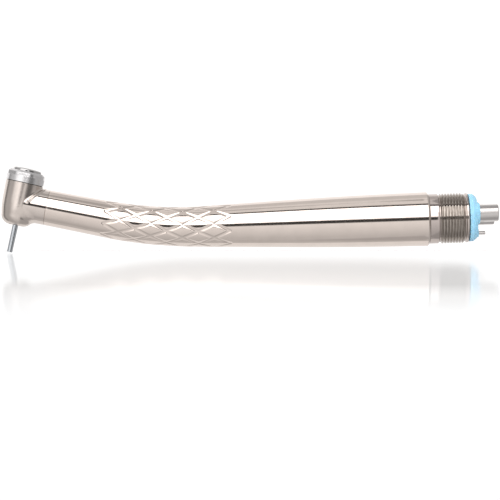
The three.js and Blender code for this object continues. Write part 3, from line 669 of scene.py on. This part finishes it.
def cap_turns():
    """Angles round the cap, with one at every corner between a flat and the round."""
    corner = math.acos(CAP_FLATS_RADIUS / CAP_RADIUS)
    pitch = 2 * math.pi / CAP_FLATS
    one = [*np.linspace(-corner, corner, 25)[:-1], *np.linspace(corner, pitch - corner, 9)[:-1]]
    return np.concatenate([np.array(one) + pitch * k for k in range(CAP_FLATS)])


def cap_shape():
    """The cap, from its skirt past the seam groove, up its flats, over its edge and down its hollow."""
    angle = cap_turns()
    pitch = 2 * math.pi / CAP_FLATS
    turn = angle / pitch
    full = np.full(len(angle), CAP_RADIUS)
    flats = np.minimum(full, CAP_FLATS_RADIUS / np.cos((turn - np.round(turn)) * pitch))
    groove, foot, seam = full - CAP_SEAM_DEPTH, HEAD_TOP + 0.01, HEAD_SEAM + 0.08
    skirt, start, mouth = CAP_SKIRT["radius"], CAP_FLATS_START, CAP_MOUTH_RADIUS
    rows = [(SEAT_RADIUS, CAP_SKIRT["bottom"]), (skirt, CAP_SKIRT["bottom"]), (skirt, foot)]
    rows += [(groove, foot), (groove, seam)]
    rows += [(full - 0.04, seam), (full - 0.01, seam + 0.01), (full, seam + 0.04)]
    rows += [(full, start - 0.03), (full - 0.01, start - 0.01), (full - 0.03, start)]
    rows.append((np.minimum(full - 0.03, flats + 0.05), start))
    rows.append((np.minimum(full - 0.01, flats + 0.01), start + 0.02))
    rows += [(flats, start + 0.07), (flats, CAP_TOP - CAP_EDGE - 0.05)]
    for pull, drop in [(0.01, 0.97), (0.04, 0.9), (0.88, 0.06), (0.95, 0.015), (1.03, 0)]:
        rows.append((flats - pull * CAP_EDGE, CAP_TOP - drop * CAP_EDGE))
    rows += [(mouth + 0.1, CAP_TOP), (mouth + 0.03, CAP_TOP - 0.03), (mouth, CAP_TOP - 0.1)]
    rows += [(mouth, CAP_WEB["top"]), (CAP_WEB["bore"], CAP_WEB["top"])]
    rows += [(CAP_WEB["bore"], CAP_WEB["bottom"]), (CAP_CHAMBER_RADIUS, CAP_WEB["bottom"])]
    rows += [(CAP_CHAMBER_RADIUS, CAP_SHOULDER["top"]), (CAP_SHOULDER["bore"], CAP_SHOULDER["top"])]
    rows += [(CAP_SHOULDER["bore"], CAP_SHOULDER["bottom"]), (SEAT_RADIUS, CAP_SHOULDER["bottom"])]
    ones = np.ones(len(angle))
    radius, height = [np.array([value * ones for value in column]) for column in zip(*rows)]
    return lathe(radius, height, angle=angle)


def cap_seam_faces():
    """The numbers of the cap's faces inside the groove at its seam, which are its third to fifth rings and
    get a painted shade.
    """
    around = len(cap_turns())
    return range(2 * around, 5 * around)


def button_shape():
    """The push button: a domed disc on a stem that is necked for its retainer."""
    disc, stem, neck = BUTTON_RADIUS, BUTTON_STEM["radius"], BUTTON_NECK["radius"]
    bottom, shoulder = BUTTON_STEM["bottom"], BUTTON_NECK["top"]
    return turned(rounded([
        (PINPOINT, bottom, 0), (neck, bottom, 0.05), (neck, shoulder, 0), (stem, shoulder, 0.05),
        (stem, BUTTON_UNDERSIDE, 0.1), (disc, BUTTON_UNDERSIDE, 0.08), (disc, BUTTON_TOP - 0.5, 0.25),
        (disc - 0.45, BUTTON_TOP - 0.25, 0.5), (1.6, BUTTON_TOP - 0.02, 2), (PINPOINT, BUTTON_TOP, 0),
    ]), 160, closed=False)


def spring_shape(around=144):
    """A wave spring of flat wire, between the cap's web and the button."""
    low, high, wire = BUTTON_SPRING["bottom"], BUTTON_SPRING["top"], BUTTON_SPRING["wire"]
    bore, radius = BUTTON_SPRING["bore"], BUTTON_SPRING["radius"]
    turn = np.linspace(0, 2 * math.pi, around, endpoint=False)
    middle = (low + high) / 2 + (high - low - wire) / 2 * np.sin(BUTTON_SPRING["waves"] * turn)
    section = rounded([
        (bore, -wire / 2, 0.05), (radius, -wire / 2, 0.05), (radius, wire / 2, 0.05), (bore, wire / 2, 0.05),
    ], steps=3)
    return lathe(section[:, :1] * np.ones(around), section[:, 1:] + middle)


def bur_shape():
    """The bur: a plain pin, very slightly tapered below its shank."""
    tip, top, radius, pinpoint = BUR["tip"], BUR["top"], BUR["radius"], PINPOINT / 2
    return turned(rounded([
        (pinpoint, tip, 0), (BUR["tip_radius"], tip, 0.09), (radius, BUR["shank_start"], 0.3),
        (radius, top, 0.2), (pinpoint, top, 0),
    ]), 96, closed=False)


def spindle_shape():
    """The hollow shaft, with a shoulder over the lower bearing and a lip that keeps the pusher in."""
    radius, bore, bottom, top = (SPINDLE[name] for name in ("radius", "bore", "bottom", "top"))
    shoulder, low, high = (SPINDLE_SHOULDER[name] for name in ("radius", "bottom", "top"))
    lip, lip_bottom = SPINDLE_LIP["radius"], SPINDLE_LIP["bottom"]
    return turned(rounded([
        (bore, bottom, 0.03), (radius, bottom, 0.1), (radius, low, 0), (shoulder, low, 0.05),
        (shoulder, high, 0.05), (radius, high, 0), (radius, top, 0.1), (lip, top, 0.04),
        (lip, lip_bottom, 0), (bore, lip_bottom, 0),
    ]), 96)


# ---- Coupling ----

def thread_radius(station, angle):
    """A right-hand thread with narrow flats on its crests, fading in at both ends."""
    turn = (station / THREAD_PITCH + angle / (2 * math.pi)) % 1
    rise = 1 - np.abs(turn - 0.5) * 2
    run_in = ease(np.minimum((station - THREAD_START) / 0.6, (THREAD_END - station) / 0.4))
    return THREAD_ROOT + (THREAD_CREST - THREAD_ROOT) * run_in * ease((rise - 0.15) / 0.55)


def thread_facing(station, angle, step=0.001):
    """Which way the thread's surface faces at each place."""
    radius = thread_radius(station, angle)
    around_slope = (thread_radius(station, angle + step) - radius) / step / radius
    along_slope = (thread_radius(station + step, angle) - radius) / step
    facing = np.stack([
        np.cos(angle) + around_slope * np.sin(angle),
        np.sin(angle) - around_slope * np.cos(angle),
        -along_slope,
    ], -1)
    return facing / np.linalg.norm(facing, axis=-1, keepdims=True)


def connector_shape(around=256):
    """The coupling's body: its rear land, its thread, its collar and the sleeve inside the handle."""
    land, collar, sleeve = LAND["radius"], COLLAR["radius"], SLEEVE["radius"]
    rear = rounded([
        (PINPOINT, BLOCK["rear"], 0), (REAR_GROOVE_RADIUS, BLOCK["rear"], 0),
        (REAR_GROOVE_RADIUS, LAND["start"], 0), (land, LAND["start"], 0.08), (land, LAND["end"], 0.1),
        (THREAD_ROOT, THREAD_START - 0.08, 0.05), (THREAD_ROOT, THREAD_START, 0),
    ])
    stations = np.arange(THREAD_START + 0.04, THREAD_END + 0.05, 0.045)
    front = rounded([
        (THREAD_ROOT, THREAD_END + 0.07, 0), (THREAD_ROOT, THREAD_END + 0.15, 0.05),
        (collar, COLLAR["start"], 0.08), (collar, COLLAR["end"], 0.08), (sleeve, COLLAR["end"], 0),
        (sleeve, SLEEVE["front"], 0.1), (SLEEVE["bore"], SLEEVE["front"], 0.1),
        (SLEEVE["bore"], BLOCK["front"], 0), (PINPOINT, BLOCK["front"], 0),
    ])
    angle = np.linspace(0, 2 * math.pi, around, endpoint=False)
    where, turn = np.meshgrid(stations, angle, indexing="ij")
    ones = np.ones(around)
    radius = np.concatenate([rear[:, :1] * ones, thread_radius(where, turn), front[:, :1] * ones])
    height = np.concatenate([rear[:, 1:] * ones, where, front[:, 1:] * ones])
    facing = np.zeros(radius.shape + (3,))
    facing[len(rear):len(rear) + len(stations)] = thread_facing(where, turn)
    return *lathe(radius, height, closed=False), facing.reshape(-1, 3)


def gasket_field(point):
    """The silicone gasket, negative inside: a bevelled disc with a raised lip round each tube's hole."""
    up, across, station = point.T
    reach = np.hypot(up, across)
    bevel = (reach - GASKET_FACE["bevel_radius"]) * 0.75 + (GASKET_FACE["bevel_depth"] - station) * 0.66
    moat = meet_round(reach - GASKET_MOAT["radius"], station - GASKET_MOAT["depth"], 0.15)
    face = meet_round(meet_round(bevel, -station, 0.15), -moat, 0.12)
    rim = meet_round(reach - GASKET_RIM["radius"], GASKET_RIM["start"] - station, 0.12)
    disc = join_round(meet_round(reach - GASKET_FACE["radius"], face, 0.15), rim, 0.1)
    disc = np.maximum(disc, station - GASKET_RIM["end"])
    off_tube = {name: np.hypot(up - tube["z"], across - tube["y"]) - tube["radius"]
                for name, tube in COUPLING_TUBES.items()}
    for name, gap in off_tube.items():
        wide = GASKET_LIP["wide" if COUPLING_TUBES[name]["radius"] > 1 else "wide_on_thin_tube"]
        side = gap - wide - (station + 0.6) * 0.3
        lip = np.maximum(meet_round(side, -GASKET_LIP["height"] - station, 0.2), station - 1)
        disc = join_round(disc, lip, 0.12)
    for gap in off_tube.values():
        disc = meet_round(disc, 0.04 - gap, 0.08)
    return disc


def tube_shape(tube):
    """A coupling tube, from its seat in the block to the rounded rim at its tip."""
    radius, bore, tip = tube["radius"], tube["bore"], -tube["tip"]
    wall = radius - bore
    return turned(rounded([
        (bore, TUBE_SEAT, 0), (bore, tip + wall * 0.3, 0.05), (bore + wall * 0.3, tip, wall * 0.12),
        (radius - wall * 0.45, tip, wall * 0.12), (radius, tip + wall * 0.45, 0.05), (radius, TUBE_SEAT, 0),
    ]), 96 if radius > 1 else 48)


# ---- Pieces ----

piece("handle_skin", handle_shape(), on_handle, steel, "satin_steel", "housing", "handle_shell")
piece("head_skin", head_shape(), on_head, head_steel, "satin_steel", "housing", "head_housing", sharp=None)
cap = piece("cap_skin", cap_shape(), on_head, cap_steel, "cap_steel", "housing", "head_cap", sharp=9)
# The seam groove's faces get the painted shade, which darkens the gap between cap and head.
paint(cap, seam_painted_shade, cap_seam_faces())
piece("button_skin", button_shape(), on_head, button_steel, "satin_steel", "button", "push_button")
spring_skin = piece(
    "button_spring_skin", spring_shape(), on_head, spring_steel, "spring_steel", "housing", "button_spring",
    sharp=50)
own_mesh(spring_skin)
piece("bur_skin", bur_shape(), on_head, bright_steel, "bright_steel", "bur_tool", "bur")
piece("spindle_skin", spindle_shape(), on_head, bright_steel, "bright_steel", "rotor", "spindle")
connector = piece(
    "connector_skin", connector_shape(), on_handle, collar_steel, "thread_steel", "housing",
    "connector_body")
paint(connector, thread_steel, [
    face.index for face in connector.data.polygons if THREAD_START < -face.center.x / MM < THREAD_END])
gasket_net = surface_net(gasket_field, (-6.8, -6.8, -0.9), (6.8, 6.8, 2.5), NET_PITCH)
piece(
    "gasket_skin", gasket_net, on_handle, silicone, "blue_silicone", "housing", "coupling_gasket",
    sharp=None)
for name, tube in COUPLING_TUBES.items():
    piece(name + "_skin", tube_shape(tube), beside_axis(tube), tube_steel, "bright_steel", "housing", name)

CARRIED = {
    "button_retainer": spring_steel, "preload_washer": spring_steel,
    "upper_bearing_outer_race": bearing_steel, "upper_bearing_inner_race": bearing_steel,
    "lower_bearing_outer_race": bearing_steel, "lower_bearing_inner_race": bearing_steel,
    "upper_bearing_ball_cage": polymer, "lower_bearing_ball_cage": polymer,
    "upper_bearing_o_ring": rubber, "lower_bearing_o_ring": rubber, "connector_o_ring": rubber,
    "chuck_collet": bright_steel, "chuck_pusher": bright_steel, "impeller": impeller_alloy,
    "drive_air_line": tube_steel, "water_line": tube_steel, "chip_air_line": tube_steel,
}
for node, material in CARRIED.items():
    slots = frame["nodes"][node].data.materials
    slots.clear()
    slots.append(material)


# ---- Stage ----

IMAGE_ROLL = math.radians(1.9)
IMAGE_RIGHT = Vector((math.cos(IMAGE_ROLL), 0, -math.sin(IMAGE_ROLL)))
IMAGE_UP = Vector((math.sin(IMAGE_ROLL), 0, math.cos(IMAGE_ROLL)))
VIEW_CENTRE = Vector((-61.3, 0, -6.78)) * MM
FRAME_WIDTH = 135 * MM
CAMERA_DISTANCE = 550 * MM
SENSOR = 36


def make_camera():
    data = bpy.data.cameras.new("camera")
    data.sensor_width = SENSOR
    data.lens = SENSOR * CAMERA_DISTANCE / FRAME_WIDTH
    data.clip_start = 5 * MM
    camera = bpy.data.objects.new("camera", data)
    bpy.context.scene.collection.objects.link(camera)
    back = Vector((0, -1, 0))
    turn = Matrix((IMAGE_RIGHT, IMAGE_UP, back)).transposed()
    camera.matrix_world = Matrix.Translation(VIEW_CENTRE + back * CAMERA_DISTANCE) @ turn.to_4x4()
    bpy.context.scene.camera = camera


def make_floor():
    """A pale sheet just under the bur's tip, level in the picture, and glossy but for its nearest part."""
    drop = 0.95 * MM
    size = 6.0
    gloss_share, full_share = 0.04, 0.45
    gloss_start, gloss_full = -524 * MM, -494 * MM
    mesh = bpy.data.meshes.new("floor")
    across, depth = IMAGE_RIGHT * size, Vector((0, size, 0))
    centre = VIEW_CENTRE - IMAGE_UP * drop
    corners = [centre + across * i + depth * j for i, j in ((-1, -1), (1, -1), (1, 1), (-1, 1))]
    mesh.from_pydata([tuple(c) for c in corners], [], [(0, 1, 2, 3)])
    floor = bpy.data.objects.new("floor", mesh)
    bpy.context.scene.collection.objects.link(floor)
    material = bpy.data.materials.new("floor")
    material.use_nodes = True
    nodes, links = material.node_tree.nodes, material.node_tree.links
    nodes.clear()
    matt = nodes.new("ShaderNodeBsdfDiffuse")
    matt.inputs["Color"].default_value = (0.96, 0.98, 0.99, 1)
    gloss = nodes.new("ShaderNodeBsdfGlossy")
    gloss.inputs["Color"].default_value = (0.97, 0.99, 1, 1)
    gloss.inputs["Roughness"].default_value = 0.04
    mix = nodes.new("ShaderNodeMixShader")
    place = nodes.new("ShaderNodeTexCoord")
    split = nodes.new("ShaderNodeSeparateXYZ")
    links.new(place.outputs["Object"], split.inputs[0])
    share = spread(nodes, links, split.outputs["Y"], gloss_share, full_share, gloss_start, gloss_full)
    links.new(share, mix.inputs["Fac"])
    output = nodes.new("ShaderNodeOutputMaterial")
    links.new(matt.outputs[0], mix.inputs[1])
    links.new(gloss.outputs[0], mix.inputs[2])
    links.new(mix.outputs[0], output.inputs["Surface"])
    mesh.materials.append(material)
    floor.visible_glossy = False


# The studio as the object sees it. Bands run level from left to right, by the angle from the camera's
# side up over the top. Cards stand at an azimuth, 0 at the camera and growing to the right, and at an
# elevation; each fades in over its first two limits and out over its last two.
STUDIO_BANDS = [
    (-180, 1.15), (-179, 0.95), (-110, 0.95), (-107, 0.6), (-70, 0.66), (-8, 1.0), (-4.5, 0.05), (7, 0.05),
    (10.5, 2.6), (60, 2.6), (62, 0.05), (68, 0.05), (70, 0.88), (100, 0.88), (104, 0.72), (126, 0.72),
    (130, 1.15), (180, 1.15),
]
STUDIO_CARDS = {
    "left wall": ((-100, -94, -58, -32), (-90, -89, 89, 90), 0.55),
    "left fill": ((-56, -26, -11, -8), (-14, -6, 27, 34), 1.5),
    "left edge": ((-118, -113, -100, -94), (-50, -40, 40, 50), 0.2),
    "right fill": ((7, 9, 18, 26), (-14, -6, 27, 34), 1.0),
    "right wall": ((20, 26, 150, 160), (-90, -89, 89, 90), 0.5),
    "right flag": ((20, 30, 56, 66), (-42, -34, 16, 24), 0.16),
}


def make_world():
    world = bpy.data.worlds.new("studio")
    bpy.context.scene.world = world
    world.use_nodes = True
    nodes, links = world.node_tree.nodes, world.node_tree.links
    place = nodes.new("ShaderNodeTexCoord")
    level = nodes.new("ShaderNodeMapping")
    level.inputs["Rotation"].default_value = (0, -IMAGE_ROLL, 0)
    split = nodes.new("ShaderNodeSeparateXYZ")
    links.new(place.outputs["Generated"], level.inputs["Vector"])
    links.new(level.outputs["Vector"], split.inputs[0])

    def maths(operation, *values):
        node = nodes.new("ShaderNodeMath")
        node.operation = operation
        for socket, value in zip(node.inputs, values):
            if isinstance(value, (int, float)):
                socket.default_value = value
            else:
                links.new(value, socket)
        return node.outputs[0]

    front = maths("MULTIPLY", split.outputs["Y"], -1)
    azimuth = maths("DEGREES", maths("ARCTAN2", split.outputs["X"], front))
    climb = maths("DEGREES", maths("ARCTAN2", split.outputs["Z"], front))
    height = maths("DEGREES", maths("ARCSINE", split.outputs["Z"]))

    def between(value, limits):
        rise = spread(nodes, links, value, 0, 1, limits[0], limits[1])
        fall = spread(nodes, links, value, 1, 0, limits[2], limits[3])
        return maths("MULTIPLY", rise, fall)

    ramp = nodes.new("ShaderNodeFloatCurve")
    curve = ramp.mapping.curves[0]
    top = max(value for _, value in STUDIO_BANDS)
    curve.points[0].location = (0, STUDIO_BANDS[0][1] / top)
    curve.points[1].location = (1, STUDIO_BANDS[-1][1] / top)
    for degrees, value in STUDIO_BANDS[1:-1]:
        curve.points.new((degrees + 180) / 360, value / top)
    for point in curve.points:
        point.handle_type = "VECTOR"
    ramp.mapping.update()
    links.new(maths("DIVIDE", maths("ADD", climb, 180), 360), ramp.inputs["Value"])
    light = maths("MULTIPLY", ramp.outputs[0], top)
    for azimuths, heights, value in STUDIO_CARDS.values():
        mask = maths("MULTIPLY", between(azimuth, azimuths), between(height, heights))
        mix = nodes.new("ShaderNodeMix")
        links.new(mask, mix.inputs["Factor"])
        links.new(light, mix.inputs["A"])
        mix.inputs["B"].default_value = value
        light = mix.outputs["Result"]
    background = nodes["Background"]
    background.inputs["Color"].default_value = (1, 0.975, 0.965, 1)
    links.new(light, background.inputs["Strength"])


def make_overhead_light():
    """A wide soft light over the floor, left out of the steel's reflections."""
    data = bpy.data.lights.new("overhead", "AREA")
    data.size = 1500 * MM
    data.energy = 5
    light = bpy.data.objects.new("overhead", data)
    bpy.context.scene.collection.objects.link(light)
    light.location = VIEW_CENTRE + Vector((0, 0, 1000)) * MM
    light.visible_glossy = False


make_camera()
make_floor()
make_world()
make_overhead_light()
bpy.context.scene.view_settings.view_transform = "Standard"
